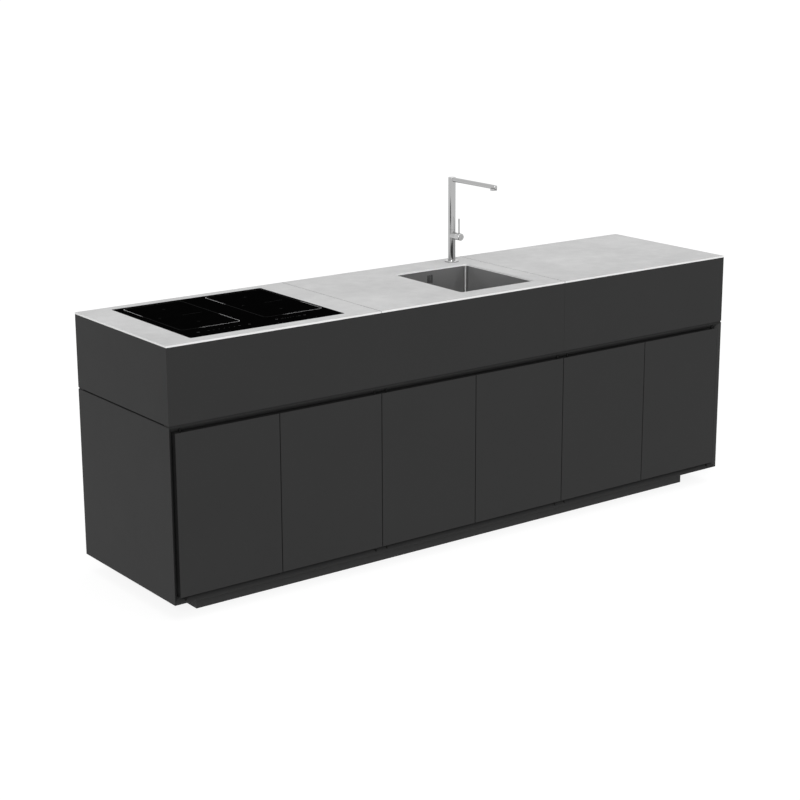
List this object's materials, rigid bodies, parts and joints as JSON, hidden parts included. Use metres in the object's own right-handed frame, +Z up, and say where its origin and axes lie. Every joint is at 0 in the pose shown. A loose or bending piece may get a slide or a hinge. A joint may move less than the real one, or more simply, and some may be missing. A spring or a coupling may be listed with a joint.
{
  "type": "outdoor kitchen",
  "caption": "Free-standing outdoor kitchen: hinged handle-less cupboard doors, thin worktop slabs, flat glass hob, undermounted sink with strainer and a swivel mixer tap.",
  "frame": {"origin": "on the ground, under the middle of the run", "axes": "+X along the run towards the plain worktop end, -Y out of the front, +Z up"},
  "size_m": [2.424, 0.6, 1.218],
  "materials": {
    "front_board": "anthracite compact laminate, fine matt",
    "plinth_board": "anthracite compact laminate, matt",
    "carcass_board": "dark compact laminate, matt",
    "spacer_strip": "dark compact laminate, matt",
    "backing_board": "grey backing board",
    "worktop_slab": "light grey sintered slab, honed",
    "hob_glass": "black glass ceramic, polished",
    "rubber": "black, matt",
    "tray_metal": "zinc coated sheet",
    "coil_copper": "lacquered copper winding",
    "sink_steel": "satin stainless steel",
    "pipe_plastic": "light grey pipe plastic",
    "tap_chrome": "polished chrome",
    "tap_fixing": "plain turned brass",
    "pin_steel": "blackened steel"
  },
  "bodies": {
    "cabinet": {"lower_side_left": "front_board", "lower_side_right": "front_board", "lower_top": "front_board", "lower_bottom": "front_board", "lower_back": "front_board", "fascia_front_long": "front_board", "fascia_front_short": "front_board", "fascia_rear": "front_board", "upper_side_left": "front_board", "upper_side_right": "front_board", "plinth_front": "plinth_board", "plinth_rear": "plinth_board", "plinth_cross_rails": "plinth_board", "partition_left": "carcass_board", "partition_right": "carcass_board", "door_stops": "carcass_board", "shelf_left": "carcass_board", "shelf_right": "carcass_board", "upper_divider_left": "carcass_board", "upper_divider_right": "carcass_board", "subtop_cleats": "carcass_board", "spacer_front": "spacer_strip", "spacer_rear": "spacer_strip", "spacer_cross_strips": "spacer_strip", "subtop_left": "backing_board", "subtop_middle": "backing_board", "subtop_right": "backing_board", "slab_left": "worktop_slab", "slab_middle": "worktop_slab", "slab_right": "worktop_slab", "hob_glass": "hob_glass", "hob_seal": "rubber", "door_bumpers": "rubber", "hob_tray": "tray_metal", "hob_coil_plate": "tray_metal", "sink_clips": "tray_metal", "hob_coils": "coil_copper", "sink_bowl": "sink_steel", "sink_waste": "sink_steel", "waste_nut": "pipe_plastic", "waste_trap": "pipe_plastic", "waste_pipe": "pipe_plastic", "overflow_housing": "pipe_plastic", "tap_base_ring": "tap_chrome", "tap_column": "tap_chrome", "tap_shank": "tap_fixing", "tap_nut": "tap_fixing", "pivot_pins": "pin_steel", "shelf_pins": "pin_steel"},
    "door_1": {"door_1": "front_board"},
    "door_2": {"door_2": "front_board"},
    "door_3": {"door_3": "front_board"},
    "door_4": {"door_4": "front_board"},
    "door_5": {"door_5": "front_board"},
    "door_6": {"door_6": "front_board"},
    "spout": {"tap_spout": "tap_chrome", "tap_aerator": "tap_chrome"},
    "tap_cap": {"tap_cap": "tap_chrome"},
    "tap_lever": {"tap_lever": "tap_chrome"},
    "strainer": {"strainer_basket": "sink_steel"}
  },
  "joints": [
    {"name": "door_1_swing", "type": "hinge", "parent": "cabinet", "child": "door_1", "pos_m": [-1.169, -0.292, 0.352], "axis": [0, 0, -1], "range_deg": [0, 90]},
    {"name": "door_2_swing", "type": "hinge", "parent": "cabinet", "child": "door_2", "pos_m": [-0.4275, -0.292, 0.352], "axis": [0, 0, 1], "range_deg": [0, 90]},
    {"name": "door_3_swing", "type": "hinge", "parent": "cabinet", "child": "door_3", "pos_m": [-0.3805, -0.292, 0.352], "axis": [0, 0, -1], "range_deg": [0, 90]},
    {"name": "door_4_swing", "type": "hinge", "parent": "cabinet", "child": "door_4", "pos_m": [0.3805, -0.292, 0.352], "axis": [0, 0, 1], "range_deg": [0, 90]},
    {"name": "door_5_swing", "type": "hinge", "parent": "cabinet", "child": "door_5", "pos_m": [0.4275, -0.292, 0.352], "axis": [0, 0, -1], "range_deg": [0, 90]},
    {"name": "door_6_swing", "type": "hinge", "parent": "cabinet", "child": "door_6", "pos_m": [1.169, -0.292, 0.352], "axis": [0, 0, 1], "range_deg": [0, 90]},
    {"name": "spout_swivel", "type": "hinge", "parent": "cabinet", "child": "spout", "pos_m": [0.316, 0.24, 1.05], "axis": [0, 0, 1], "range_deg": [-150, 150]},
    {"name": "cap_turn", "type": "hinge", "parent": "cabinet", "child": "tap_cap", "pos_m": [0.316, 0.197, 1], "axis": [0, 1, 0], "range_deg": [-45, 45]},
    {"name": "lever_tilt", "type": "hinge", "parent": "tap_cap", "child": "tap_lever", "pos_m": [0.316, 0.1965, 1.003], "axis": [1, 0, 0], "range_deg": [0, 25]},
    {"name": "strainer_lift", "type": "slide", "parent": "cabinet", "child": "strainer", "axis": [0, 0, 1], "range_m": [0, 0.2]}
  ]
}
